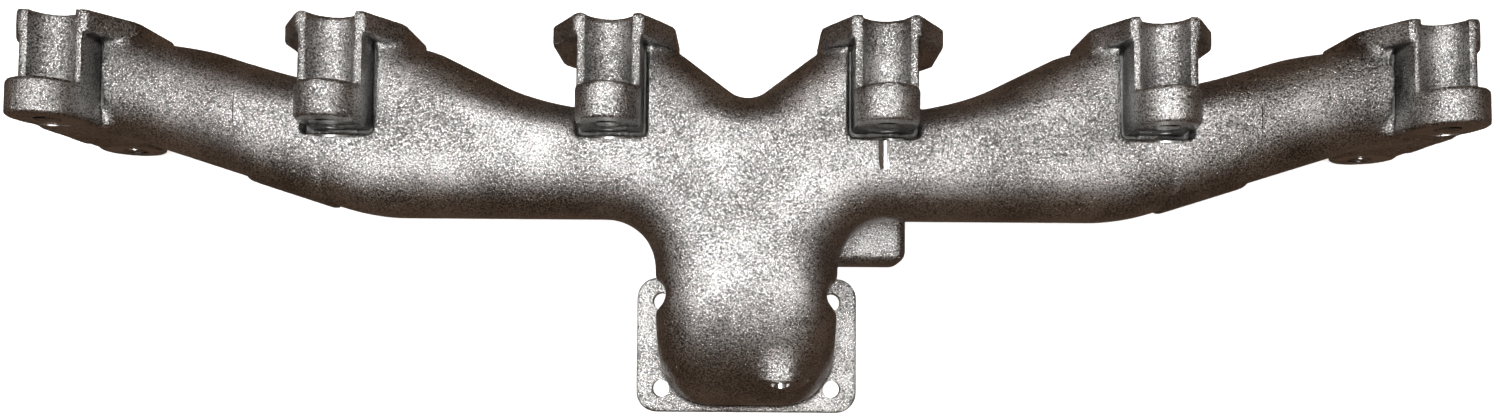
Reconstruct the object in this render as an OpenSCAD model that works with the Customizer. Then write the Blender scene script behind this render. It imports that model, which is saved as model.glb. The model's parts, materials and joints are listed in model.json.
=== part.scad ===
// Exhaust manifold of an in-line six-cylinder turbo-diesel engine, in millimetres.
// +X runs along the engine from its front to its rear, +Y points at the cylinder head and
// +Z points away from the turbocharger. The origin is the centre of the turbocharger
// flange's four bolt holes, on its mating face.
// Three iron castings make it: a centre one with ports 2 to 5, and an end one at each end.
// The end castings plug into the centre one through slip joints with two seal rings each.

/* [Ports] */
// Distance between neighbouring ports
port_pitch = 120; // [118:1:122]
// Half the width of a port's gas passage
port_half_w = 12.5; // [12:0.5:13]
// Half the height of a port's gas passage
port_half_h = 20.5; // [18:0.5:21]
// Height of the ports and of the log above the turbocharger flange's face
axis_z = 55.5; // [55.5:0.5:56.5]
// Distance from the turbocharger flange's centre to the cylinder head face
head_face_y = 141; // [140:0.5:142]

/* [Port flanges] */
// Thickness of a port flange
flange_t = 12; // [11:0.5:13]
// Half the width of a port flange beside the port
flange_half_w = 29.5; // [28:0.5:30]
// Half the height over which a port flange keeps that width
flange_flat_half_h = 19; // [16:0.5:21]

/* [Bolt bosses] */
// Distance between a port's upper and lower bolts
bolt_spacing = 78; // [78:0.5:79]
// Radius of a clearance hole for an M10 bolt
bolt_hole_r = 5.5; // [5.25:0.25:6]
// Outer radius of a bolt boss at ports 2 to 5
boss_r = 14; // [13.5:0.25:14]
// Outer radius of a bolt boss at the two end ports
end_boss_r = 16.5; // [16:0.25:16.5]
// Position of the faces that the bolt heads press on
boss_face_y = 92.7; // [92:0.1:94]
// Length of the closed ring at the outer end of a boss
ring_len = 15.8; // [14:0.2:17]
// Inner radius of the open channel between the ring and the cylinder head
channel_r = 10.25; // [9.5:0.25:10.5]

/* [Log and runners] */
// Position of the log's centre line
log_y = 81; // [80.5:0.5:81.5]
// Half the depth of the log, across the engine
log_half_w = 24.5; // [24:0.25:25]
// Half the height of the log
log_half_h = 28; // [27.75:0.25:28.25]
// Wall thickness of the gas passages
wall = 5.5; // [5:0.25:6]
// Position of the bends where the runners turn away from their ports
bend_y = 123; // [122.5:0.5:123.5]

/* [Slip joints] */
// Distance from the centre plane to the joint between two castings
joint_x = 225; // [225:0.5:226]
// Gap between the two castings at rest
joint_gap = 0.5; // [0.4:0.1:0.8]
// Radius of the bore in the centre casting's socket
socket_r = 17.5; // [17.25:0.25:17.75]
// Radial clearance of the spigot in its socket
spigot_clearance = 0.05; // [0.03:0.01:0.08]
// Inner radius of the spigot
spigot_bore_r = 13; // [12.5:0.25:13]
// Length of the spigot
spigot_len = 30; // [28:0.5:30]

/* [Turbocharger flange] */
// Length of the flange along the engine
turbo_plate_w = 108; // [106:1:110]
// Width of the flange across the engine
turbo_plate_d = 66; // [65:1:68]
// Thickness of the flange
turbo_plate_t = 11; // [10:0.5:12]
// Bolt spacing along the engine
turbo_bolt_dx = 84; // [84:0.5:85]
// Bolt spacing across the engine
turbo_bolt_dy = 43; // [43:0.5:44]
// Radius of a flange bolt hole
turbo_hole_r = 4.25; // [4:0.25:4.5]
// Half the thickness of the wall between the front and rear gas passages
divider_half_t = 2.5; // [2.5:0.25:3]

/* [Hidden] */
$fn = 96;

// Colours of the as-cast iron, of each casting, and of the small steel pieces
centre_colour = [0.50, 0.48, 0.46];
end_colour = [0.56, 0.54, 0.51];
machined_colour = [0.68, 0.67, 0.65];
steel_colour = [0.35, 0.35, 0.37];

// A cut that has to pass a face runs past it by this much
past = 1;
// Boxes that only cut are this large
far = 400;

// Ports are counted from the engine's front. Each has a rank from its own end, 1 to 3.
ports = 6;
half_ports = ports / 2;
function rank(i) = i <= half_ports ? i : ports + 1 - i;
function port_distance(k) = (half_ports + 0.5 - k) * port_pitch;
function slope(k) = runner_slopes[k - 1];
function is_end(k) = k == 1;
function ring_r(k) = is_end(k) ? end_boss_r : boss_r;

// Port flanges and bosses
flange_back_y = head_face_y - flange_t;
bolt_rise = bolt_spacing / 2;
channel_y = boss_face_y + ring_len;
channel_wall = 3.4;
channel_outer_r = channel_r + channel_wall;
web_low = 8;

// Slopes of the runners from ports 1, 2 and 3 in degrees
runner_slopes = [17.6, 26.3, 37.3];

// Each kind of tube is lower by one step than the one it runs into
height_step = 1;
leg_half_w = 17;
leg_half_h = log_half_h - 2 * height_step;
sweep_half_w = log_half_w;
sweep_half_h = log_half_h - height_step;
runner_wall = wall + 0.5;
socket_wall = wall + 1;
end_leg_len = 18;
sweep_start = 6;

// The straight log ends where the end runners' slope reaches its centre line
log_end_x = port_distance(1) - (bend_y - log_y) / tan(slope(1));
log_overlap = 8;

// Slip joints: the socket's raised collar, its bore and the seal rings' grooves
collar_len = 36;
collar_inner_x = joint_x - collar_len;
collar_proud = 2.2;
socket_proud = 0.5;
joint_y = 93.5;
spigot_r = socket_r - spigot_clearance;
shoulder_x = joint_x + joint_gap;
spigot_tip_x = shoulder_x - spigot_len;
spigot_end_gap = 1.5;
socket_end_x = spigot_tip_x - spigot_end_gap;
spigot_root = 9;
spigot_root_x = joint_x + spigot_root;
passage_root = 7;
passage_start_x = joint_x + passage_root;
groove_w = 2.6;
groove_depth = 2.2;
ring_play = 0.05;
groove_places = [8, 16];

// The elbow between the log and the turbocharger flange
elbow_half_w = 41.25;
elbow_low_y = -29;
elbow_top_z = axis_z + log_half_h - height_step;
elbow_bend_r = 59;
elbow_inner_y = 29;
elbow_under_z = axis_z - log_half_h + height_step;
elbow_corner_r = 25;
elbow_edge_r = 20;
elbow_wall = 7.5;
mouth_half_w = 31;
mouth_half_d = 21.5;
gusset_r = 25;
gusset_half_h = 20;
scallop_r = 9;
turbo_corner_r = 10;

// Support boss under the rear log
support_x = 76;
support_y = 39;
support_depth = 44;
support_low_z = 2;
support_top_z = 32;
support_edge_r = 8;

// Sensor boss on the elbow's back, with its threaded plug
sensor_x = 15.5;
sensor_z = 60;
sensor_r = 11;
sensor_end_y = -18.1;
sensor_root_y = 10;
sensor_hole_r = 4.5;
plug_len = 10;
plug_recess = 0.5;
plug_key = 5;
plug_key_depth = 5;

// Basic shapes

// An upright outline with round ends
module stadium(half_w, half_h) {
    square([2 * half_w, 2 * (half_h - half_w)], center = true);
    for (s = [-1, 1])
        translate([0, s * (half_h - half_w)])
            circle(r = half_w);
}

// A bar of that section from the origin along +X
module bar_x(length, half_w, half_h) {
    rotate([90, 0, 90])
        linear_extrude(length)
            stadium(half_w, half_h);
}

// A bar of that section from the origin along -Y
module bar_y(length, half_w, half_h) {
    rotate([90, 0, 0])
        linear_extrude(length)
            stadium(half_w, half_h);
}

// A round bar from y0 to y1
module rod_y(y0, y1, r) {
    translate([0, y1, 0])
        rotate([90, 0, 0])
            cylinder(h = y1 - y0, r = r);
}

// A box from its lowest to its highest corner
module span(low, high) {
    translate(low)
        cube(high - low);
}

// What is drawn for the front half is mirrored for the rear half
module on_side(rear) {
    if (rear)
        mirror([1, 0, 0]) children();
    else
        children();
}

// Outer shapes of the front half

// A bar down a runner's slope, from its bend to the log's centre line or past it
module slope_bar(k, half_w, half_h, extra = 0) {
    length = (bend_y - log_y) / sin(slope(k)) + extra;
    translate([-port_distance(k), bend_y, axis_z])
        rotate([0, 0, -slope(k)])
            bar_x(length, half_w, half_h);
}

module runner_body(k) {
    x = -port_distance(k);
    inner_x = is_end(k) ? -shoulder_x : 0;
    intersection() {
        slope_bar(k, sweep_half_w, sweep_half_h);
        span([x + (is_end(k) ? 0 : sweep_start), -far, -far], [inner_x, flange_back_y, far]);
    }
    if (is_end(k))
        span([x - end_boss_r, boss_face_y, axis_z - leg_half_h],
             [x + end_boss_r, flange_back_y, axis_z + leg_half_h]);
    else
        translate([x, flange_back_y, axis_z])
            bar_y(flange_back_y - log_y, leg_half_w, leg_half_h);
}

// The log, running on a little way inside both sockets
module log_body() {
    end_x = log_end_x + log_overlap;
    translate([-end_x, log_y, axis_z])
        bar_x(2 * end_x, log_half_w, log_half_h);
}

// The sloped start of the log with the raised collar round the slip joint
module socket_body() {
    intersection() {
        slope_bar(1, log_half_w + socket_proud, log_half_h + socket_proud, log_half_w);
        span([-joint_x, -far, -far], [-log_end_x, far, far]);
    }
    intersection() {
        slope_bar(1, log_half_w + collar_proud, log_half_h + collar_proud);
        span([-joint_x, -far, -far], [-collar_inner_x, far, far]);
    }
}

// Side view of the elbow, or of its passage, as an outline in Y and Z
module elbow_side(low_y, high_y, low_z, under_z, top_z, inner_y, bend_r) {
    centre_y = low_y + bend_r;
    centre_z = top_z - bend_r;
    translate([low_y, low_z])
        square([inner_y - low_y, centre_z - low_z]);
    translate([centre_y, under_z])
        square([high_y - centre_y, top_z - under_z]);
    translate([low_y, centre_z])
        square([inner_y - low_y, under_z - centre_z]);
    intersection() {
        translate([centre_y, centre_z])
            circle(r = bend_r);
        translate([low_y, centre_z])
            square([bend_r, bend_r]);
    }
}

// A block with two round corners at its low Y side, seen from above
module round_plan(half_w, low_y, high_y, corner_r, low_z, high_z) {
    translate([0, 0, low_z])
        linear_extrude(high_z - low_z) {
            translate([-half_w, low_y + corner_r])
                square([2 * half_w, high_y - low_y - corner_r]);
            translate([corner_r - half_w, low_y])
                square([2 * (half_w - corner_r), corner_r]);
            for (s = [-1, 1])
                translate([s * (half_w - corner_r), low_y + corner_r])
                    circle(r = corner_r);
        }
}

// A block with two round edges along its top
module round_top(half_w, low_y, high_y, edge_r, low_z, top_z) {
    translate([0, high_y, 0])
        rotate([90, 0, 0])
            linear_extrude(high_y - low_y) {
                translate([-half_w, low_z])
                    square([2 * half_w, top_z - low_z - edge_r]);
                translate([edge_r - half_w, top_z - edge_r])
                    square([2 * (half_w - edge_r), edge_r]);
                for (s = [-1, 1])
                    translate([s * (half_w - edge_r), top_z - edge_r])
                        circle(r = edge_r);
            }
}

module elbow_body() {
    intersection() {
        translate([-elbow_half_w, 0, 0])
            rotate([90, 0, 90])
                linear_extrude(2 * elbow_half_w)
                    elbow_side(elbow_low_y, log_y, turbo_plate_t, elbow_under_z,
                               elbow_top_z, elbow_inner_y, elbow_bend_r);
        round_plan(elbow_half_w, elbow_low_y, log_y, elbow_corner_r,
                   turbo_plate_t, elbow_top_z);
        round_top(elbow_half_w, elbow_low_y, log_y, elbow_edge_r,
                  turbo_plate_t, elbow_top_z);
    }
}

// The concave corner between the elbow's neck and the log
module gusset() {
    low_y = log_y - log_half_w - gusset_r;
    translate([0, 0, axis_z - gusset_half_h])
        linear_extrude(2 * gusset_half_h)
            difference() {
                translate([-elbow_half_w - gusset_r, low_y])
                    square([gusset_r, gusset_r + wall]);
                translate([-elbow_half_w - gusset_r, low_y])
                    circle(r = gusset_r);
            }
}

// Gas passages of the front half

module port_leg_passage(k) {
    low_y = is_end(k) ? bend_y - end_leg_len : log_y;
    translate([-port_distance(k), head_face_y + past, axis_z])
        bar_y(head_face_y + past - low_y, port_half_w, port_half_h);
}

module runner_passage(k) {
    inner_x = is_end(k) ? -passage_start_x : -divider_half_t;
    low_y = is_end(k) ? boss_face_y + wall : log_y - log_half_w;
    intersection() {
        slope_bar(k, sweep_half_w - runner_wall, sweep_half_h - runner_wall);
        span([-port_distance(k) - port_half_w, is_end(k) ? -far : low_y, -far],
             [inner_x, flange_back_y - wall, far]);
    }
}

module log_passage() {
    translate([-log_end_x - past, log_y, axis_z])
        bar_x(log_end_x + past - divider_half_t, log_half_w - wall, log_half_h - wall);
}

module socket_passage() {
    translate([-joint_x - past, joint_y, axis_z])
        rotate([0, 90, 0])
            cylinder(h = joint_x + past - socket_end_x, r = socket_r);
    intersection() {
        slope_bar(1, sweep_half_w - socket_wall, sweep_half_h - socket_wall, log_half_w);
        span([-socket_end_x - past, -far, -far], [-log_end_x + past, far, far]);
    }
}

module spigot_passage() {
    translate([-spigot_root_x, joint_y, axis_z])
        rotate([0, 90, 0])
            cylinder(h = spigot_root_x - spigot_tip_x + past, r = spigot_bore_r);
}

module elbow_passage() {
    bend_r = elbow_bend_r - elbow_wall;
    intersection() {
        translate([-elbow_half_w, 0, 0])
            rotate([90, 0, 90])
                linear_extrude(elbow_half_w - divider_half_t)
                    elbow_side(-mouth_half_d, log_y, -past, axis_z - gusset_half_h,
                               elbow_top_z - elbow_wall, mouth_half_d, bend_r);
        round_plan(mouth_half_w, -mouth_half_d, log_y, elbow_corner_r - wall,
                   -past, elbow_top_z);
        round_top(mouth_half_w, -mouth_half_d, log_y, elbow_edge_r - wall,
                  -past, elbow_top_z - elbow_wall);
    }
}

// Where the runners from ports 2 and 3 open into the log
module runner_openings() {
    for (k = [2, 3]) {
        port_leg_passage(k);
        runner_passage(k);
    }
}

// What a boss of rank k is cut back by
module boss_neighbours(k) {
    runner_body(k);
    if (!is_end(k)) {
        log_body();
        socket_body();
    }
}

// Sub-parts, drawn for the front half

module port_flange(k) {
    reach = is_end(k) ? end_boss_r : boss_r;
    difference() {
        translate([-port_distance(k), head_face_y, axis_z])
            rotate([90, 0, 0])
                linear_extrude(flange_t) {
                    for (s = [-1, 1])
                        translate([0, s * bolt_rise])
                            circle(r = reach);
                    polygon([
                        [-reach, -bolt_rise], [reach, -bolt_rise],
                        [flange_half_w, -flange_flat_half_h], [flange_half_w, flange_flat_half_h],
                        [reach, bolt_rise], [-reach, bolt_rise],
                        [-flange_half_w, flange_flat_half_h], [-flange_half_w, -flange_flat_half_h],
                    ]);
                }
        port_leg_passage(k);
        for (s = [-1, 1])
            translate([-port_distance(k), 0, axis_z + s * bolt_rise])
                channel_cut(s);
    }
}

// The open channel that a bolt lies in, between its ring and the cylinder head.
// side is 1 where it opens upwards and -1 where it opens downwards.
module channel_cut(side) {
    reach = 2 * end_boss_r;
    rod_y(channel_y, head_face_y + past, channel_r);
    span([-reach, channel_y, side > 0 ? 0 : -reach],
         [reach, head_face_y + past, side > 0 ? reach : 0]);
}

module boss(k, side) {
    x = -port_distance(k);
    r = ring_r(k);
    outer_r = is_end(k) ? end_boss_r : channel_outer_r;
    low_z = axis_z + side * web_low;
    bolt_z = axis_z + side * bolt_rise;
    difference() {
        union() {
            translate([x, 0, bolt_z]) {
                rod_y(boss_face_y, channel_y, r);
                rod_y(channel_y - past, flange_back_y, outer_r);
            }
            span([x - outer_r, boss_face_y, min(low_z, bolt_z)],
                 [x + outer_r, flange_back_y, max(low_z, bolt_z)]);
        }
        translate([x, 0, bolt_z]) {
            channel_cut(side);
            rod_y(boss_face_y - past, channel_y + past, bolt_hole_r);
        }
        boss_neighbours(k);
    }
}

module runner(k) {
    difference() {
        runner_body(k);
        if (!is_end(k)) {
            log_body();
            socket_body();
        }
        port_leg_passage(k);
        runner_passage(k);
        if (is_end(k))
            spigot_passage();
    }
}

module log_half() {
    difference() {
        translate([-log_end_x, log_y, axis_z])
            bar_x(log_end_x - elbow_half_w, log_half_w, log_half_h);
        log_passage();
        runner_openings();
    }
}

module socket() {
    difference() {
        socket_body();
        socket_passage();
        port_leg_passage(2);
        runner_passage(2);
    }
}

module spigot() {
    difference() {
        translate([-shoulder_x, joint_y, axis_z])
            rotate([0, 90, 0])
                cylinder(h = spigot_len, r = spigot_r);
        spigot_passage();
        for (place = groove_places)
            translate([place - shoulder_x, joint_y, axis_z])
                rotate([0, 90, 0])
                    difference() {
                        cylinder(h = groove_w, r = spigot_r + past);
                        cylinder(h = groove_w, r = spigot_r - groove_depth);
                    }
    }
}

module seal_ring(place) {
    translate([place - shoulder_x + ring_play, joint_y, axis_z])
        rotate([0, 90, 0])
            difference() {
                cylinder(h = groove_w - 2 * ring_play, r = spigot_r);
                translate([0, 0, -past])
                    cylinder(h = groove_w + past, r = spigot_r - groove_depth + ring_play);
            }
}

// Sub-parts on the centre line

module plenum() {
    difference() {
        translate([-elbow_half_w, log_y, axis_z])
            bar_x(2 * elbow_half_w, log_half_w, log_half_h);
        for (rear = [false, true])
            on_side(rear) {
                log_passage();
                runner_passage(3);
                elbow_passage();
            }
    }
}

module collector_elbow() {
    difference() {
        union() {
            elbow_body();
            for (rear = [false, true])
                on_side(rear)
                    gusset();
        }
        log_body();
        for (rear = [false, true])
            on_side(rear)
                elbow_passage();
        for (s = [-1, 1], q = [-1, 1])
            translate([s * turbo_bolt_dx / 2, q * turbo_bolt_dy / 2, 0])
                cylinder(h = axis_z - gusset_half_h, r = scallop_r);
        sensor_hole();
    }
}

module turbo_flange() {
    difference() {
        linear_extrude(turbo_plate_t) {
            square([turbo_plate_w, turbo_plate_d - 2 * turbo_corner_r], center = true);
            square([turbo_plate_w - 2 * turbo_corner_r, turbo_plate_d], center = true);
            for (s = [-1, 1], q = [-1, 1])
                translate([s * (turbo_plate_w / 2 - turbo_corner_r),
                           q * (turbo_plate_d / 2 - turbo_corner_r)])
                    circle(r = turbo_corner_r);
        }
        for (s = [-1, 1], q = [-1, 1])
            translate([s * turbo_bolt_dx / 2, q * turbo_bolt_dy / 2, -past])
                cylinder(h = turbo_plate_t + 2 * past, r = turbo_hole_r);
        for (rear = [false, true])
            on_side(rear)
                elbow_passage();
    }
}

module support_boss() {
    difference() {
        translate([0, 0, support_low_z])
            linear_extrude(support_top_z - support_low_z) {
                translate([elbow_half_w, support_y])
                    square([support_x - elbow_half_w - support_edge_r, support_depth]);
                translate([elbow_half_w, support_y + support_edge_r])
                    square([support_x - elbow_half_w, support_depth - support_edge_r]);
                translate([support_x - support_edge_r, support_y + support_edge_r])
                    circle(r = support_edge_r);
            }
        log_body();
        mirror([1, 0, 0])
            gusset();
    }
}

module sensor_hole() {
    translate([sensor_x, 0, sensor_z])
        rod_y(sensor_end_y - past, sensor_root_y, sensor_hole_r);
}

module sensor_boss() {
    difference() {
        translate([sensor_x, 0, sensor_z])
            rod_y(sensor_end_y, sensor_root_y, sensor_r);
        elbow_body();
        sensor_hole();
    }
}

module sensor_plug() {
    front_y = sensor_end_y + plug_recess;
    translate([sensor_x, 0, sensor_z])
        difference() {
            rod_y(front_y, front_y + plug_len, sensor_hole_r);
            translate([0, front_y + plug_key_depth, 0])
                rotate([90, 0, 0])
                    cylinder(h = plug_key_depth + past, d = plug_key / cos(30), $fn = 6);
        }
}

for (i = [1 : ports]) {
    rear = i > half_ports;
    k = rank(i);
    shade = is_end(k) ? end_colour : centre_colour;
    color(shade) on_side(rear) port_flange(k);
    color(shade) on_side(rear) boss(k, 1);
    color(shade) on_side(rear) boss(k, -1);
    color(shade) on_side(rear) runner(k);
}
for (rear = [false, true]) {
    end = rear ? "rear" : "front";
    color(centre_colour) on_side(rear) log_half();
    color(centre_colour) on_side(rear) socket();
    color(machined_colour) on_side(rear) spigot();
    color(steel_colour) on_side(rear) seal_ring(groove_places[1]);
    color(steel_colour) on_side(rear) seal_ring(groove_places[0]);
}
color(centre_colour) plenum();
color(centre_colour) collector_elbow();
color(machined_colour) turbo_flange();
color(centre_colour) support_boss();
color(centre_colour) sensor_boss();
color(steel_colour) sensor_plug();
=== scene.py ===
# The exhaust manifold's three iron castings, modelled as distance fields in millimetres
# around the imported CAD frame, with their machined faces and holes cut exactly.
import json
import math

import bpy
import numpy as np
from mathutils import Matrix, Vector


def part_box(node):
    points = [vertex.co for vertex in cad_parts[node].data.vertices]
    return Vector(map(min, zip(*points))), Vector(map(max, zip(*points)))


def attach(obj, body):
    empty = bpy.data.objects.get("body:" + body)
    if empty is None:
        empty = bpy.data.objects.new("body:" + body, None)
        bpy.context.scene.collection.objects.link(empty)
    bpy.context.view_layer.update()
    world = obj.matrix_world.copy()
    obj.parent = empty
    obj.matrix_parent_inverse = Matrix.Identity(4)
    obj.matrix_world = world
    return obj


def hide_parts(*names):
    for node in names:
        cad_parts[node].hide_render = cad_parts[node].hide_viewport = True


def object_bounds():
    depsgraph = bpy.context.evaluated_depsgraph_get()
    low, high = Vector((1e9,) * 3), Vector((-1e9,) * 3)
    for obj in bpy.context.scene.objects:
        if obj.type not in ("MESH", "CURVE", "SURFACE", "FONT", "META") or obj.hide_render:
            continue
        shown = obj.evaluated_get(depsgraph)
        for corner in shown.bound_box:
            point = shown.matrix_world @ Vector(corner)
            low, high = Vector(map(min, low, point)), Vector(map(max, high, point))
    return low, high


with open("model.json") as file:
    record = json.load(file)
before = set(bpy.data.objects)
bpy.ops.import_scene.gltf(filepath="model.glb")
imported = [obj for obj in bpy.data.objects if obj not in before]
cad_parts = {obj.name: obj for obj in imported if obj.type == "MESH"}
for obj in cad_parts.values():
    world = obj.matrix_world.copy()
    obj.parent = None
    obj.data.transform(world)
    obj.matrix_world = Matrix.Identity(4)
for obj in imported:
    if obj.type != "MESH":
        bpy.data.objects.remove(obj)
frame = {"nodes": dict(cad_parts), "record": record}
cad_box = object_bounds()

MM = 0.001
CENTRE, FRONT, REAR = "centre_casting", "front_end_casting", "rear_end_casting"

# ---- Places and sizes from the frame, in millimetres ----

mounts = {m["name"]: m for m in frame["record"]["mounts"]}
ports = [mounts[f"port_{i}_bolts"] for i in range(1, 7)]
PORT_X = [m["pos_m"][0] / MM for m in ports]
AXIS_Z = ports[0]["pos_m"][2] / MM
BOLT_RISE = ports[0]["dims"]["spacing_y_mm"] / 2
BOLT_R = ports[0]["dims"]["hole_r_mm"]
HEAD_Y = mounts["port_1_face"]["pos_m"][1] / MM
TURBO = mounts["turbo_bolts"]["dims"]
TURBO_X, TURBO_Y = TURBO["spacing_x_mm"] / 2, TURBO["spacing_y_mm"] / 2
PLATE_LOW, PLATE_HIGH = (np.array(v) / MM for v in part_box("turbo_flange"))
PLATE_T = PLATE_HIGH[2]
SPIGOT_LOW, SPIGOT_HIGH = (np.array(v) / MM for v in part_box("front_spigot"))
SPIGOT_R = (SPIGOT_HIGH[1] - SPIGOT_LOW[1]) / 2
JOINT_Y = (SPIGOT_LOW[1] + SPIGOT_HIGH[1]) / 2
SUPPORT_LOW, SUPPORT_HIGH = (np.array(v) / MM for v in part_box("support_boss"))
BOSS_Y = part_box("upper_boss_2")[0][1] / MM
PLUG_LOW, PLUG_HIGH = (np.array(v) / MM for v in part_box("sensor_plug"))
SENSOR_X, SENSOR_Z = (PLUG_LOW[0] + PLUG_HIGH[0]) / 2, (PLUG_LOW[2] + PLUG_HIGH[2]) / 2

# ---- Sizes of the cast shapes, in millimetres ----

STEP = 1.3                 # spacing of the grid that the castings are computed on
LOG_Y, LOG_W, LOG_H = 81, 24.5, 28      # the log's centre line, half width and half height
WALL = 5.5
BEND_Y = 123               # where the runners' centre lines meet their ports'
SLOPES = {1: 17.6, 2: 26.3, 3: 37.3}    # how the runners slope down to the log, in degrees
SWEEPS = {1: 20, 2: 10, 3: 9}           # fillets where they meet it, or each other for 3
BEND_R, VALLEY_R = 4, 3    # rounding of the log's lower bends and of the valley's rim
OUTBOARD = 13              # the runners end this far on the outer side of their ports
OUTBOARD_ROUNDING = 0.6    # less than 1 makes that side rounder
LEG_W, LEG_H = 16.5, 22    # half sizes of the straight leg behind a port flange
PORT_W, PORT_H = 12.5, 19.5             # half sizes of a port
PORT_DEPTH_Y, PASSAGE_R = 101, 16
FLANGE_T, FLANGE_W, FLANGE_FLAT, FLANGE_R = 9.5, 27.5, 15.5, 7.5
BODY_OVERLAP = 0.5         # the bodies reach this far into the flanges
BOSS_R, END_BOSS_R = 14, 16.5
RING_LEN = 15.8            # length of the closed ring at the foot of each bolt channel
CHANNEL_R, CHANNEL_OUTER_R = 10.1, 13.7
CHANNEL_FOOT = 4           # the channel's wall starts this far down inside the ring
WEB_Z = 6                  # the bosses' webs start this far from the axis
POCKET = 2.2               # width of the pockets round the bosses
POCKET_FLOOR, POCKET_H = 20, 20         # their floor from the axis, and their top from the bolt
SPOT_DEPTH, SPOT_RIM = 4.5, 0.5         # the spot faces, and how far they pass the bosses
GROOVE_LEN, GROOVE_R, GROOVE_DEPTH = 17, 4, 0.9   # the short milled groove below port 4
JOINT_X, COLLAR_X, COLLAR_PROUD = 225, 189, 1.5
SOCKET_X, SOCKET_R, SPIGOT_BORE = 194, 17.5, 13
SHOULDER = 0.5             # the end castings start this far outside their seams
TUBE_ROOT, BORE_ROOT = 6, 12            # how far the spigot and its bore run into the casting
PASSAGE_MOUTH = 10         # the end castings' passages start this far outside the seams
ELBOW_W, ELBOW_LOW, ELBOW_BEND, ELBOW_WALL = 41.25, -29, 59, 7.5
ELBOW_CORNER, NECK_FILLET = 8, 24
HALF_DIVIDER = 2.5         # half the wall between the two halves of the gas passages
PLATE_R = 10
SUPPORT_ROOT = 8           # the support boss starts this far inside the elbow's side
SENSOR_R, SENSOR_ROOT_Y, SENSOR_HOLE_R, SENSOR_HOLE_LEN = 11, 12, 4.5, 26
SCALLOP_R = 6              # room beside the elbow at the two holes behind it

# Cutting shapes reach well past what they cut
PAST = 10
BLOCK = 30
FAR_X, FAR_Y, UNDER_Z, OVER_Z = 400, 300, -50, 200


def rank(i):
    """A port's number counted from its own end of the engine, 1 to 3."""
    return min(i, 7 - i)


def side(i):
    """-1 for a port of the front half and 1 for one of the rear half."""
    return -1 if i <= 3 else 1


def ordered(a, b):
    """The lower and the higher of two places."""
    return min(a, b), max(a, b)


# ---- Distance fields ----

def join(a, b, r):
    """The union of two fields, with a fillet of radius r where they meet."""
    if r <= 0:
        return np.minimum(a, b)
    u, v = np.maximum(r - a, 0), np.maximum(r - b, 0)
    return np.maximum(r, np.minimum(a, b)) - np.sqrt(u * u + v * v)


def common(a, b, r=0.0):
    """The intersection of two fields, with its new edges rounded to radius r."""
    return -join(-a, -b, r)


def box_2d(u, v, half_u, half_v, r):
    """A rectangle with round corners of radius r."""
    du, dv = np.abs(u) - half_u + r, np.abs(v) - half_v + r
    outside = np.sqrt(np.maximum(du, 0) ** 2 + np.maximum(dv, 0) ** 2)
    return outside + np.minimum(np.maximum(du, dv), 0) - r


def extruded(flat, along, r):
    """A flat field given thickness, with its end edges rounded to radius r."""
    a, b = flat + r, along + r
    outside = np.sqrt(np.maximum(a, 0) ** 2 + np.maximum(b, 0) ** 2)
    return outside + np.minimum(np.maximum(a, b), 0) - r


def box(low, high, r=1.0):
    """A box with round edges. A shape is its distance and its lowest and highest corners."""
    low, high = np.array(low, float), np.array(high, float)
    mid, half = (low + high) / 2, (high - low) / 2

    def distance(x, y, z):
        flat = box_2d(x - mid[0], y - mid[1], half[0], half[1], r)
        return extruded(flat, np.abs(z - mid[2]) - half[2], r)
    return distance, low, high


def bar(start, angle, length, half_w, half_h, r=4.0):
    """A bar with round sides from start along a direction in the X-Y plane."""
    start = np.array(start, float)
    c, s = math.cos(math.radians(angle)), math.sin(math.radians(angle))
    end = start + np.array([c, s, 0]) * length
    reach = np.array([half_w, half_w, half_h])

    def distance(x, y, z):
        u = (x - start[0]) * c + (y - start[1]) * s
        v = (y - start[1]) * c - (x - start[0]) * s
        w = np.maximum(np.abs(z - start[2]) - (half_h - half_w), 0)
        flat = np.sqrt(v * v + w * w) - half_w
        return extruded(flat, np.abs(u - length / 2) - length / 2, r)
    return distance, np.minimum(start, end) - reach, np.maximum(start, end) + reach


def rod_y(x0, z0, low_y, high_y, radius, r=1.0):
    """A round rod along Y."""
    def distance(x, y, z):
        flat = np.sqrt((x - x0) ** 2 + (z - z0) ** 2) - radius
        return extruded(flat, np.abs(y - (low_y + high_y) / 2) - (high_y - low_y) / 2, r)
    return (distance, np.array([x0 - radius, low_y, z0 - radius]),
            np.array([x0 + radius, high_y, z0 + radius]))


def rod_z(x0, y0, low_z, high_z, radius, r=1.0):
    """A round rod along Z."""
    def distance(x, y, z):
        flat = np.sqrt((x - x0) ** 2 + (y - y0) ** 2) - radius
        return extruded(flat, np.abs(z - (low_z + high_z) / 2) - (high_z - low_z) / 2, r)
    return (distance, np.array([x0 - radius, y0 - radius, low_z]),
            np.array([x0 + radius, y0 + radius, high_z]))


def clipped(shape, low, high, r=3.0):
    """A shape kept only inside a box."""
    inner, low_a, high_a = shape
    keep, low_b, high_b = box(low, high, r)
    return (lambda x, y, z: common(inner(x, y, z), keep(x, y, z), r),
            np.maximum(low_a, low_b), np.minimum(high_a, high_b))


CORNERS = [(i, j, k) for i in (0, 1) for j in (0, 1) for k in (0, 1)]
OUTSIDE = 60.0             # the field of an empty grid
REACH = 4 * STEP           # a shape changes the field this far round itself
EVERYWHERE = (np.array([-500, -100, -100]), np.array([500, 300, 300]))


def mixed_cells(inside):
    """The grid cells with some of their corners inside and some outside."""
    size = np.array(inside.shape) - 1
    count = np.zeros(size, np.uint8)
    for i, j, k in CORNERS:
        count += inside[i:i + size[0], j:j + size[1], k:k + size[2]]
    return np.argwhere((count > 0) & (count < len(CORNERS)))


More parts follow.
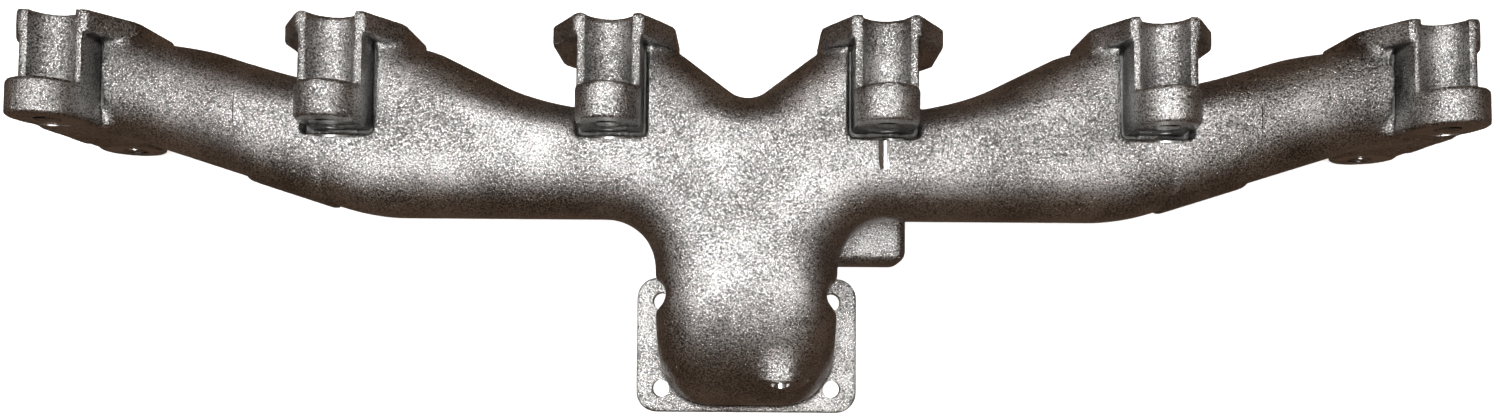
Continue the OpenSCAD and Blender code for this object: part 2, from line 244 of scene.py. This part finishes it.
def cell_points(field, cells):
    """A point in each cell, at the mean of the places where its edges meet the surface."""
    total = np.zeros((len(cells), 3))
    hits = np.zeros(len(cells))
    for a in CORNERS:
        for axis in range(3):
            if a[axis]:
                continue
            b = list(a)
            b[axis] = 1
            fa = field[tuple((cells + a).T)]
            fb = field[tuple((cells + b).T)]
            crosses = (fa < 0) != (fb < 0)
            t = np.where(crosses, fa / np.where(crosses, fa - fb, 1), 0)
            point = np.array(a) + t[:, None] * (np.array(b) - np.array(a))
            total += np.where(crosses[:, None], point, 0)
            hits += crosses
    return cells + total / hits[:, None]


def cell_faces(inside, cells):
    """A four-sided face round each grid edge that passes through the surface."""
    size = np.array(inside.shape) - 1
    number = np.full(size, -1, np.int64)
    number[tuple(cells.T)] = np.arange(len(cells))
    faces = []
    for axis in range(3):
        u, v = (axis + 1) % 3, (axis + 2) % 3
        first, second = [slice(None)] * 3, [slice(None)] * 3
        first[axis], second[axis] = slice(0, -1), slice(1, None)
        spots = np.argwhere(inside[tuple(first)] != inside[tuple(second)])
        spots = spots[(spots[:, u] > 0) & (spots[:, v] > 0)
                      & (spots[:, u] < size[u]) & (spots[:, v] < size[v])]
        quad = []
        for du, dv in ((-1, -1), (0, -1), (0, 0), (-1, 0)):
            cell = spots.copy()
            cell[:, u] += du
            cell[:, v] += dv
            quad.append(number[tuple(cell.T)])
        quad = np.stack(quad, axis=1)
        outward = inside[tuple(spots.T)]
        faces.append(np.where(outward[:, None], quad, quad[:, ::-1]))
    return np.concatenate(faces)


class Casting:
    """A distance field on a grid, built up and cut away shape by shape."""

    def __init__(self, low, high):
        axes = [np.arange(low[a], high[a] + STEP, STEP, dtype=np.float32) for a in range(3)]
        self.x = axes[0][:, None, None]
        self.y = axes[1][None, :, None]
        self.z = axes[2][None, None, :]
        self.axes = axes
        self.field = np.full([len(a) for a in axes], OUTSIDE, np.float32)

    def window(self, low, high, margin):
        """The part of the grid that a box and a margin round it cover."""
        cuts = []
        for a in range(3):
            first = int(np.searchsorted(self.axes[a], low[a] - margin))
            last = int(np.searchsorted(self.axes[a], high[a] + margin))
            cuts.append(slice(first, max(last, first + 1)))
        return tuple(cuts)

    def apply(self, shape, change, margin):
        """Changes the field round a shape."""
        distance, low, high = shape
        cuts = self.window(low, high, margin)
        part = self.field[cuts]
        if part.size:
            there = distance(self.x[cuts[0]], self.y[:, cuts[1]], self.z[:, :, cuts[2]])
            self.field[cuts] = change(part, there)

    def add(self, shape, fillet=0.0):
        self.apply(shape, lambda a, b: join(a, b, fillet), fillet + REACH)

    def cut(self, shape, edge=0.0):
        self.apply(shape, lambda a, b: common(a, -b, edge), edge + REACH)

    def mesh(self, name):
        """The field's zero surface as a closed mesh of four-sided faces, in metres."""
        for axis in range(3):
            for end in (0, -1):
                border = [slice(None)] * 3
                border[axis] = end
                self.field[tuple(border)] = 1.0
        inside = self.field < 0
        cells = mixed_cells(inside)
        origin = np.array([a[0] for a in self.axes])
        points = (origin + cell_points(self.field, cells) * STEP) * MM
        mesh = bpy.data.meshes.new(name)
        mesh.from_pydata(points.tolist(), [], cell_faces(inside, cells).tolist())
        return mesh


# ---- The cast shapes ----

def polygon_2d(u, v, points, r):
    """Distance to a polygon given by its corners' centres, with corners of radius r."""
    best = np.full(np.broadcast(u, v).shape, 1e6, np.float32)
    sign = np.ones_like(best)
    last = points[-1]
    for point in points:
        ex, ey = last[0] - point[0], last[1] - point[1]
        wx, wy = u - point[0], v - point[1]
        t = np.clip((wx * ex + wy * ey) / (ex * ex + ey * ey), 0, 1)
        best = np.minimum(best, (wx - t * ex) ** 2 + (wy - t * ey) ** 2)
        above, below = v >= point[1], v < last[1]
        left = ex * wy > ey * wx
        flip = (above & below & left) | (~above & ~below & ~left)
        sign = np.where(flip, -sign, sign)
        last = point
    return sign * np.sqrt(best) - r


def flank(i, x, y):
    """Distance above the line that port i's runner follows down to the log, in the plan."""
    slope = math.radians(SLOPES[rank(i)])
    down = (PORT_X[i - 1] - x) * side(i)
    return (y - BEND_Y) * math.cos(slope) + down * math.sin(slope)


def centre_plan(x, y):
    """The centre casting's body seen from above: the log, its runners and the elbow's neck."""
    upper = y - LOG_Y - LOG_W
    lower = LOG_Y - LOG_W - y
    for i in (1, 6):
        upper = join(upper, flank(i, x, y) - LOG_W, SWEEPS[1])
        lower = common(lower, -flank(i, x, y) - LOG_W, BEND_R)
    for i in (2, 5):
        outboard = ((x - PORT_X[i - 1]) * side(i) - OUTBOARD) * OUTBOARD_ROUNDING
        swept = join(upper, flank(i, x, y) - LOG_W, SWEEPS[2])
        upper = np.minimum(upper, np.maximum(swept, outboard))
    valley = join(flank(3, x, y) - LOG_W, flank(4, x, y) - LOG_W, SWEEPS[3])
    valley = np.maximum(valley, np.abs(x) - PORT_X[3] - OUTBOARD)
    upper = join(upper, valley, VALLEY_R)
    return np.maximum(upper, join(lower, np.abs(x) - ELBOW_W, NECK_FILLET))


def end_plan(i):
    """An end casting's body seen from above."""
    def plan(x, y):
        across = np.abs(flank(i, x, y)) - LOG_W
        return np.maximum(across, (x - PORT_X[i - 1]) * side(i) - END_BOSS_R)
    return plan


def rounded(flat, height, r):
    """The meeting of a plan and a height, with full round edges of radius r."""
    u, v = np.maximum(flat + r, 0), np.maximum(height + r, 0)
    return np.sqrt(u * u + v * v) - r


def elbow_back(y, z, wall):
    """How far a place is outside the elbow's bent back and inner corner, less its wall."""
    bend = ELBOW_BEND - wall
    dy, dz = ELBOW_LOW + ELBOW_BEND - y, z - (AXIS_Z + LOG_H - ELBOW_BEND)
    arc = np.sqrt(dy * dy + dz * dz)
    back = np.where(dy > 0, np.where(dz > 0, arc, dy), dz) - bend
    inner_corner = common(z - AXIS_Z + LOG_H - wall, -ELBOW_LOW + wall - y, ELBOW_CORNER)
    return np.maximum(back, -inner_corner)


def centre_body(x, y, z):
    return rounded(centre_plan(x, y), elbow_back(y, z, 0), LOG_W)


def elbow_passage(x, y, z):
    """The bent passage from the log to the turbocharger, before its dividing wall."""
    sides = np.abs(x) - ELBOW_W + ELBOW_WALL
    height = np.maximum(elbow_back(y, z, ELBOW_WALL), y - LOG_Y)
    return rounded(sides, height, LOG_W - ELBOW_WALL)


def flange_shape(i):
    """A port flange: six sides with round corners, as wide at its ends as the bosses."""
    x0 = PORT_X[i - 1]
    corners = [(FLANGE_W - FLANGE_R, FLANGE_FLAT), (CHANNEL_OUTER_R - FLANGE_R, BOLT_RISE)]
    points = ([(u, v) for u, v in corners] + [(-u, v) for u, v in corners[::-1]]
              + [(-u, -v) for u, v in corners] + [(u, -v) for u, v in corners[::-1]])

    def distance(x, y, z):
        flat = polygon_2d(x - x0, z - AXIS_Z, points, FLANGE_R)
        return extruded(flat, np.abs(y - HEAD_Y + FLANGE_T / 2) - FLANGE_T / 2, 1.2)
    reach = BOLT_RISE + FLANGE_R
    return (distance, np.array([x0 - FLANGE_W, HEAD_Y - FLANGE_T, AXIS_Z - reach]),
            np.array([x0 + FLANGE_W, HEAD_Y, AXIS_Z + reach]))


def cut_pockets(casting, x0):
    """The pockets round a port's two bosses."""
    half = CHANNEL_OUTER_R + POCKET
    for up in (-1, 1):
        low_z, high_z = ordered(AXIS_Z + up * POCKET_FLOOR, AXIS_Z + up * (BOLT_RISE + POCKET_H))
        casting.cut(box((x0 - half, BOSS_Y - POCKET - 1, low_z),
                        (x0 + half, HEAD_Y + PAST, high_z), r=3), edge=1.6)


def add_boss(casting, x0, up, ring_x, ring):
    """A bolt boss: a web, a closed ring at its foot, and a channel that is open behind it."""
    bolt_z = AXIS_Z + up * BOLT_RISE
    channel_y = BOSS_Y + RING_LEN
    web_low, web_high = ordered(AXIS_Z + up * WEB_Z, bolt_z)
    casting.add(box((x0 - CHANNEL_OUTER_R, BOSS_Y, web_low),
                    (x0 + CHANNEL_OUTER_R, HEAD_Y - 2, web_high), r=1), fillet=1)
    casting.add(rod_y(ring_x, bolt_z, BOSS_Y, channel_y, ring, r=1.5), fillet=0.8)
    casting.add(rod_y(x0, bolt_z, channel_y - CHANNEL_FOOT, HEAD_Y - 0.5, CHANNEL_OUTER_R, r=0.6),
                fillet=0.5)
    low_z, high_z = ordered(bolt_z, bolt_z + up * BLOCK)
    casting.cut(box((x0 - BLOCK, channel_y, low_z), (x0 + BLOCK, HEAD_Y + PAST, high_z), r=0.5),
                edge=0.8)
    casting.cut(rod_y(x0, bolt_z, channel_y, HEAD_Y + PAST, CHANNEL_R, r=0.8), edge=0.6)


def add_port(casting, i):
    """A port's leg and flange, the pockets round its bosses, and the bosses themselves."""
    x0 = PORT_X[i - 1]
    ring, ring_x = BOSS_R, x0
    cut_pockets(casting, x0)
    if rank(i) == 1:
        ring = (END_BOSS_R + CHANNEL_OUTER_R) / 2
        ring_x = x0 + (END_BOSS_R - ring) * side(i)
        casting.add(box((x0 - END_BOSS_R, BOSS_Y, AXIS_Z - POCKET_FLOOR),
                        (x0 + END_BOSS_R, HEAD_Y - 2, AXIS_Z + POCKET_FLOOR), r=3), fillet=4)
    else:
        casting.add(bar((x0, HEAD_Y - 2, AXIS_Z), -90, HEAD_Y - LOG_Y, LEG_W, LEG_H), fillet=3)
    casting.add(flange_shape(i), fillet=4)
    for up in (-1, 1):
        add_boss(casting, x0, up, ring_x, ring)


def cut_ports(casting, numbers):
    """The mouths of the gas passages, from the head face into their runners."""
    start_y = HEAD_Y + 2 * PAST
    for i in numbers:
        start = (PORT_X[i - 1], start_y, AXIS_Z)
        casting.cut(bar(start, -90, start_y - PORT_DEPTH_Y, PORT_W, PORT_H, r=3), edge=1.5)


def cut_head_side(casting):
    """Ends a casting's body just inside its flanges."""
    casting.cut(box((-FAR_X, HEAD_Y - FLANGE_T + BODY_OVERLAP, UNDER_Z), (FAR_X, FAR_Y, OVER_Z), r=1),
                edge=3)


def passage(plan, limit):
    """The round gas passages that follow a plan inside its walls, within a limit."""
    def distance(x, y, z):
        flat = np.maximum(plan(x, y) + WALL, y - HEAD_Y + FLANGE_T + WALL)
        inside = rounded(flat, np.abs(z - AXIS_Z) - PASSAGE_R, PASSAGE_R)
        return np.maximum(inside, limit(x, y))
    return distance, *EVERYWHERE


def add_collar(casting, i):
    """The collar of port i's slip joint, raised on the side away from the head."""
    def collar(x, y, z):
        above = flank(i, x, y)
        across = np.maximum(above - LOG_W, -above - LOG_W - COLLAR_PROUD)
        return rounded(across, np.abs(z - AXIS_Z) - LOG_H, LOG_W)
    low_x, high_x = ordered(side(i) * (JOINT_X + 2 * PAST), side(i) * COLLAR_X)
    low, high = np.array([low_x, 0, -20]), np.array([high_x, 200, 130])
    casting.add(clipped((collar, low, high), low, high, r=1.5), fillet=0.4)


def add_elbow_details(casting):
    """The support boss, the sensor boss, the bites at the bolt holes and the turbo flange."""
    casting.add(box((ELBOW_W - SUPPORT_ROOT, SUPPORT_LOW[1], SUPPORT_LOW[2]),
                    (SUPPORT_HIGH[0], LOG_Y, SUPPORT_HIGH[2]), r=6), fillet=4)
    casting.add(rod_y(SENSOR_X, SENSOR_Z, PLUG_LOW[1] - 0.5, SENSOR_ROOT_Y, SENSOR_R, r=1.5),
                fillet=4)
    for s in (-1, 1):
        casting.cut(rod_z(s * TURBO_X, TURBO_Y, PLATE_T - 3, AXIS_Z + LOG_H, SCALLOP_R, r=4),
                    edge=3)
    plate_half = (PLATE_HIGH - PLATE_LOW) / 2

    def plate(x, y, z):
        flat = box_2d(x, y, plate_half[0], plate_half[1], PLATE_R)
        return extruded(flat, np.abs(z - PLATE_T / 2) - PLATE_T / 2, 1.2)
    casting.add((plate, PLATE_LOW, PLATE_HIGH), fillet=2)


def centre_casting():
    margin = 3 * STEP
    casting = Casting((-JOINT_X - margin, ELBOW_LOW - 12, -margin),
                      (JOINT_X + margin, HEAD_Y + margin, AXIS_Z + BOLT_RISE + BOSS_R + margin))
    casting.add((centre_body, *EVERYWHERE))
    for i in (1, 6):
        add_collar(casting, i)
    cut_head_side(casting)
    for i in range(2, 6):
        add_port(casting, i)
    add_elbow_details(casting)
    casting.cut(passage(lambda x, y: np.maximum(centre_plan(x, y), LOG_Y - LOG_W - y),
                        lambda x, y: HALF_DIVIDER - np.abs(x)), edge=1)
    cut_ports(casting, range(2, 6))

    def halves(x, y, z):
        return common(elbow_passage(x, y, z), HALF_DIVIDER - np.abs(x), 3)
    casting.cut((halves, np.array([-50, -40, -20]), np.array([50, LOG_Y + 10, 100])), edge=1)
    return casting


def end_casting(i):
    s = side(i)
    margin = 3 * STEP
    low_x, high_x = ordered(s * (JOINT_X - 4), s * (PORT_X[5] + FLANGE_W + margin))
    casting = Casting((low_x - margin, BOSS_Y - 30, -margin),
                      (high_x + margin, HEAD_Y + margin, AXIS_Z + BOLT_RISE + END_BOSS_R + margin))
    plan = end_plan(i)

    def body(x, y, z):
        return rounded(plan(x, y), np.abs(z - AXIS_Z) - LOG_H, LOG_W)
    casting.add((body, *EVERYWHERE))
    cut_head_side(casting)
    add_port(casting, i)
    casting.cut(passage(plan, lambda x, y: JOINT_X + PASSAGE_MOUTH - np.abs(x)), edge=1)
    cut_ports(casting, [i])
    return casting


# ---- Machined cuts, made exactly ----

def add_cylinder(verts, faces, centre, axis, length, radius, sides=72):
    """A closed cylinder from centre along an axis, added to a list of shells."""
    u, v = (axis + 1) % 3, (axis + 2) % 3
    first = len(verts)
    for end in (0, length):
        for k in range(sides):
            a = 2 * math.pi * k / sides
            p = list(centre)
            p[axis] += end
            p[u] += radius * math.cos(a)
            p[v] += radius * math.sin(a)
            verts.append([c * MM for c in p])
    faces.append([first + k for k in reversed(range(sides))])
    faces.append([first + sides + k for k in range(sides)])
    for k in range(sides):
        m = (k + 1) % sides
        faces.append([first + k, first + m, first + sides + m, first + sides + k])


def add_block(verts, faces, low, high):
    """A closed box, added to a list of shells."""
    first = len(verts)
    for z in (low[2], high[2]):
        for x, y in ((low[0], low[1]), (high[0], low[1]), (high[0], high[1]), (low[0], high[1])):
            verts.append([x * MM, y * MM, z * MM])
    for quad in ((3, 2, 1, 0), (4, 5, 6, 7), (0, 1, 5, 4),
                 (1, 2, 6, 5), (2, 3, 7, 6), (3, 0, 4, 7)):
        faces.append([first + k for k in quad])


def boolean(piece, verts, faces, operation):
    """Cuts a piece by closed shells, or joins them to it, with machined new faces."""
    mesh = bpy.data.meshes.new("tool")
    mesh.from_pydata(verts, [], faces)
    for m in piece.data.materials:
        mesh.materials.append(m)
    mesh.polygons.foreach_set("material_index", [1] * len(mesh.polygons))
    tool = bpy.data.objects.new("tool", mesh)
    bpy.context.scene.collection.objects.link(tool)
    modifier = piece.modifiers.new("cut", "BOOLEAN")
    modifier.operation = operation
    modifier.solver = "MANIFOLD"
    modifier.object = tool
    graph = bpy.context.evaluated_depsgraph_get()
    result = bpy.data.meshes.new_from_object(piece.evaluated_get(graph), depsgraph=graph)
    piece.modifiers.clear()
    old = piece.data
    piece.data = result
    bpy.data.meshes.remove(old)
    bpy.data.objects.remove(tool)


def machined_shells(numbers):
    """The cuts for some ports' flange faces, bolt holes and spot faces."""
    verts, faces = [], []
    add_block(verts, faces, (-FAR_X, HEAD_Y, UNDER_Z), (FAR_X, HEAD_Y + BLOCK, OVER_Z))
    for i in numbers:
        x = PORT_X[i - 1]
        for up in (-1, 1):
            z = AXIS_Z + up * BOLT_RISE
            add_cylinder(verts, faces, (x, BOSS_Y - SPOT_DEPTH, z), 1, SPOT_DEPTH,
                         BOSS_R + SPOT_RIM)
            add_cylinder(verts, faces, (x, BOSS_Y - 1, z), 1, RING_LEN + 3, BOLT_R, 48)
    return verts, faces


def add_seam_block(verts, faces, s, seam_x, past_x):
    """A block that ends a casting at a slip joint's seam, on one side of it."""
    low_x, high_x = ordered(s * seam_x, s * past_x)
    add_block(verts, faces, (low_x, 40, 0), (high_x, HEAD_Y - 5, 120))


def finish_mesh(piece):
    """Smooth shading that stays sharp at the machined edges."""
    mesh = piece.data
    mesh.polygons.foreach_set("use_smooth", [True] * len(mesh.polygons))
    mesh.set_sharp_from_angle(angle=math.radians(40))
    mesh.update()


def new_piece(name, mesh, body, materials):
    """A visible piece that rides on a body."""
    piece = bpy.data.objects.new(name, mesh)
    bpy.context.scene.collection.objects.link(piece)
    for m in materials:
        mesh.materials.append(m)
    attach(piece, body)
    return piece


# ---- Materials ----

PATCH_SCALE = 38           # the iron's patchiness, in patches to the metre
SPECK_SCALE = 2.4          # how much finer the specks are than the grain
SPECK_SHARE = 0.45         # how much of the iron's colour they make


def node(tree, kind, **values):
    """A new node, with some of its inputs or properties set."""
    made = tree.nodes.new(kind)
    for key, value in values.items():
        if key in made.inputs:
            made.inputs[key].default_value = value
        else:
            setattr(made, key, value)
    return made


def noise(tree, coords, scale, detail, roughness=0.55):
    made = node(tree, "ShaderNodeTexNoise", Scale=scale, Detail=detail, Roughness=roughness)
    tree.links.new(coords, made.inputs["Vector"])
    return made.outputs["Fac"]


def ramp(tree, value, stops):
    """A value turned into colours, by stops of a place and a colour."""
    made = node(tree, "ShaderNodeValToRGB")
    points = made.color_ramp.elements
    while len(points) < len(stops):
        points.new(0.5)
    for point, (place, colour) in zip(points, stops):
        point.position = place
        point.color = (*colour, 1)
    tree.links.new(value, made.inputs["Fac"])
    return made.outputs["Color"]


def new_material(name):
    material = bpy.data.materials.new(name)
    material.use_nodes = True
    tree = material.node_tree
    shader = tree.nodes["Principled BSDF"]
    coords = node(tree, "ShaderNodeTexCoord").outputs["Object"]
    return material, tree, shader, coords


def mapped(tree, value, low, high, to_low, to_high):
    """A value's range stretched onto another one."""
    made = node(tree, "ShaderNodeMapRange")
    for key, number in (("From Min", low), ("From Max", high),
                        ("To Min", to_low), ("To Max", to_high)):
        made.inputs[key].default_value = number
    tree.links.new(value, made.inputs["Value"])
    return made.outputs["Result"]


def total(tree, a, b):
    """The sum of two values."""
    made = node(tree, "ShaderNodeMath", operation="ADD")
    tree.links.new(a, made.inputs[0])
    tree.links.new(b, made.inputs[1])
    return made.outputs["Value"]


def bumped(tree, height, strength, distance, under=None):
    """A surface direction bumped by a height, on top of another bump."""
    made = node(tree, "ShaderNodeBump", Strength=strength, Distance=distance)
    tree.links.new(height, made.inputs["Height"])
    if under:
        tree.links.new(under, made.inputs["Normal"])
    return made.outputs["Normal"]


def cast_iron(name, dark, mid, light, grain):
    """Sand-cast iron: a fine grain of bright crests and dark pits, with painted shade that darkens
    its hollows and corners.
    """
    material, tree, shader, coords = new_material(name)
    shader.inputs["Metallic"].default_value = 1.0
    patches = noise(tree, coords, PATCH_SCALE, 3)
    grains = noise(tree, coords, grain, 3, 0.65)
    specks = noise(tree, coords, grain * SPECK_SCALE, 1.5, 0.5)
    mixed = node(tree, "ShaderNodeMath", operation="MULTIPLY_ADD")
    tree.links.new(specks, mixed.inputs[0])
    mixed.inputs[1].default_value = SPECK_SHARE
    tree.links.new(mapped(tree, grains, 0.3, 0.7, 0.0, 1 - SPECK_SHARE), mixed.inputs[2])
    shaded = total(tree, mixed.outputs["Value"], mapped(tree, patches, 0.3, 0.7, -0.08, 0.08))
    # Painted shade: concave places, found by their pointiness, are darkened in the iron's colour
    # where shade would fall.
    corners = node(tree, "ShaderNodeNewGeometry").outputs["Pointiness"]
    shaded = total(tree, shaded, mapped(tree, corners, 0.42, 0.49, -0.4, 0.0))
    colour = ramp(tree, shaded, [(0.36, dark), (0.5, mid), (0.64, light)])
    tree.links.new(colour, shader.inputs["Base Color"])
    tree.links.new(mapped(tree, grains, 0.3, 0.7, 0.38, 0.24), shader.inputs["Roughness"])
    pits = bumped(tree, grains, 0.9, 0.0005)
    tree.links.new(bumped(tree, specks, 0.8, 0.0002, pits), shader.inputs["Normal"])
    return material


def machined(name, colour, rough, streak):
    """A turned or milled metal face with fine tool marks."""
    material, tree, shader, coords = new_material(name)
    shader.inputs["Metallic"].default_value = 1.0
    marks = noise(tree, coords, streak, 3)
    darker = tuple(c * 0.8 for c in colour)
    tree.links.new(ramp(tree, marks, [(0.35, darker), (0.65, colour)]), shader.inputs["Base Color"])
    shader.inputs["Roughness"].default_value = rough
    tree.links.new(bumped(tree, marks, 0.3, 0.0001), shader.inputs["Normal"])
    return material


iron = cast_iron("cast_iron", dark=(0.10, 0.097, 0.093), mid=(0.36, 0.357, 0.353),
                 light=(0.80, 0.795, 0.79), grain=1250)
bright = machined("machined_iron", (0.50, 0.49, 0.48), rough=0.25, streak=900)
ring_steel = machined("ring_steel", (0.50, 0.50, 0.51), rough=0.25, streak=1500)
plug_steel = machined("plug_steel", (0.22, 0.22, 0.23), rough=0.4, streak=1500)

# ---- Pieces ----

groups = frame["record"]["behaviour"]["bodies"]
small = {n for n in frame["nodes"] if "seal_ring" in n or n == "sensor_plug"}


def make_centre():
    piece = new_piece(CENTRE, centre_casting().mesh(CENTRE), CENTRE, (iron, bright))
    verts, faces = machined_shells(range(2, 6))
    add_block(verts, faces, (-100, -60, -BLOCK), (100, 60, 0))
    groove_z = AXIS_Z + LOG_H + GROOVE_R - GROOVE_DEPTH
    add_cylinder(verts, faces, (PORT_X[3], BOSS_Y - GROOVE_LEN, groove_z),
                 1, GROOVE_LEN - SPOT_DEPTH + 1, GROOVE_R)
    for s in (-1, 1):
        add_seam_block(verts, faces, s, JOINT_X, JOINT_X + 40)
    boolean(piece, verts, faces, "DIFFERENCE")

    verts, faces = [], []
    socket_len = JOINT_X + 5 - SOCKET_X
    for s in (-1, 1):
        for q in (-1, 1):
            add_cylinder(verts, faces, (s * TURBO_X, q * TURBO_Y, -PAST),
                         2, PAST + PLATE_T + 2, TURBO["hole_r_mm"], 40)
        low_x = min(s * SOCKET_X, s * (SOCKET_X + socket_len))
        add_cylinder(verts, faces, (low_x, JOINT_Y, AXIS_Z), 0, socket_len, SOCKET_R)
    add_cylinder(verts, faces, (SENSOR_X, PLUG_LOW[1] - PAST, SENSOR_Z),
                 1, SENSOR_HOLE_LEN, SENSOR_HOLE_R, 40)
    boolean(piece, verts, faces, "DIFFERENCE")
    finish_mesh(piece)
    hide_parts(*[n for n in groups[CENTRE] if n not in small])


def make_end(i, name):
    s = side(i)
    piece = new_piece(name, end_casting(i).mesh(name), name, (iron, bright))
    verts, faces = machined_shells([i])
    add_seam_block(verts, faces, s, JOINT_X + SHOULDER, JOINT_X - 40)
    boolean(piece, verts, faces, "DIFFERENCE")

    low_x, high_x = (v[0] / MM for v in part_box(name.split("_")[0] + "_spigot"))
    for operation, radius, past, root in (("UNION", SPIGOT_R, 0, TUBE_ROOT),
                                          ("DIFFERENCE", SPIGOT_BORE, 1, BORE_ROOT)):
        verts, faces = [], []
        start = low_x - (past if s > 0 else root)
        length = high_x - low_x + root + past
        add_cylinder(verts, faces, (start, JOINT_Y, AXIS_Z), 0, length, radius)
        boolean(piece, verts, faces, operation)
    finish_mesh(piece)
    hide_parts(*[n for n in groups[name] if n not in small])


make_centre()
make_end(1, FRONT)
make_end(6, REAR)
for n in sorted(small):
    for slot in frame["nodes"][n].material_slots:
        slot.material = plug_steel if n == "sensor_plug" else ring_steel

# ---- Stage, light and camera ----

def area_light(name, place, target, size, power, colour):
    """A round lamp that shines at a target."""
    data = bpy.data.lights.new(name, "AREA")
    data.shape = "DISK"
    data.size = size
    data.energy = power
    data.color = colour
    lamp = bpy.data.objects.new(name, data)
    lamp.location = place
    lamp.rotation_euler = (Vector(target) - Vector(place)).to_track_quat("-Z", "Y").to_euler()
    bpy.context.scene.collection.objects.link(lamp)


def backdrop(name, floor_z, flat_r, wall_h, bend_r, sides=96, steps=12):
    """A round paper floor that curves up into a wall all round the studio."""
    profile = [(0.001, 0.0), (flat_r - bend_r, 0.0)]
    for k in range(1, steps + 1):
        a = math.pi / 2 * k / steps
        profile.append((flat_r - bend_r + bend_r * math.sin(a), bend_r - bend_r * math.cos(a)))
    profile.append((flat_r, wall_h))
    turns = [2 * math.pi * k / sides for k in range(sides)]
    verts = [(r * math.cos(a), r * math.sin(a), floor_z + h) for r, h in profile for a in turns]
    faces = [[k for k in range(sides)]]
    for row in range(len(profile) - 1):
        for k in range(sides):
            m = (k + 1) % sides
            faces.append([row * sides + k, (row + 1) * sides + k,
                          (row + 1) * sides + m, row * sides + m])
    mesh = bpy.data.meshes.new(name)
    mesh.from_pydata(verts, [], faces)
    mesh.polygons.foreach_set("use_smooth", [True] * len(mesh.polygons))
    made = bpy.data.objects.new(name, mesh)
    bpy.context.scene.collection.objects.link(made)
    return made


FLOOR_GAP = 0.0005         # the floor is this far below the part, in metres

floor = backdrop("floor", cad_box[0][2] - FLOOR_GAP, flat_r=7.0, wall_h=4.0, bend_r=2.0)
paper = bpy.data.materials.new("paper")
paper.use_nodes = True
paper_look = paper.node_tree.nodes["Principled BSDF"].inputs
paper_look["Base Color"].default_value = (0.9, 0.9, 0.9, 1)
paper_look["Roughness"].default_value = 0.9
paper_look["Emission Color"].default_value = (1, 1, 1, 1)
paper_look["Emission Strength"].default_value = 0.8
floor.data.materials.append(paper)
floor.visible_glossy = False
floor.visible_diffuse = False

world = bpy.data.worlds.new("studio")
world.use_nodes = True
surroundings = world.node_tree.nodes["Background"].inputs
surroundings["Color"].default_value = (0.095, 0.060, 0.040, 1)
surroundings["Strength"].default_value = 1.0
bpy.context.scene.world = world
bpy.context.scene.view_settings.view_transform = "Standard"

area_light("overhead", place=(-0.05, 0.055, 1.15), target=(-0.03, 0.05, 0),
           size=0.5, power=13.5, colour=(1, 1, 1))
area_light("left_soft", place=(-0.9, 0.2, 1.0), target=(-0.2, 0, 0),
           size=0.8, power=1.2, colour=(1, 0.98, 0.96))
area_light("right_soft", place=(1.3, 0.5, 0.9), target=(0.2, 0, 0),
           size=0.8, power=0.3, colour=(1, 0.98, 0.96))

FILM_W, LENS = 36, 30      # the camera's film width and focal length, in millimetres
TILT, TURN = math.radians(3), math.radians(0.42)
LEVEL_SHIFT = 0.1087       # the shift that a camera without the tilt would need

camera_data = bpy.data.cameras.new("camera")
camera_data.sensor_width = FILM_W
camera_data.lens = LENS
camera_data.shift_y = LEVEL_SHIFT - math.tan(TILT) * LENS / FILM_W
camera = bpy.data.objects.new("camera", camera_data)
camera.location = (0.0019, -0.0137, 0.625)
camera.rotation_euler = (TILT, 0, TURN)
bpy.context.scene.collection.objects.link(camera)
bpy.context.scene.camera = camera
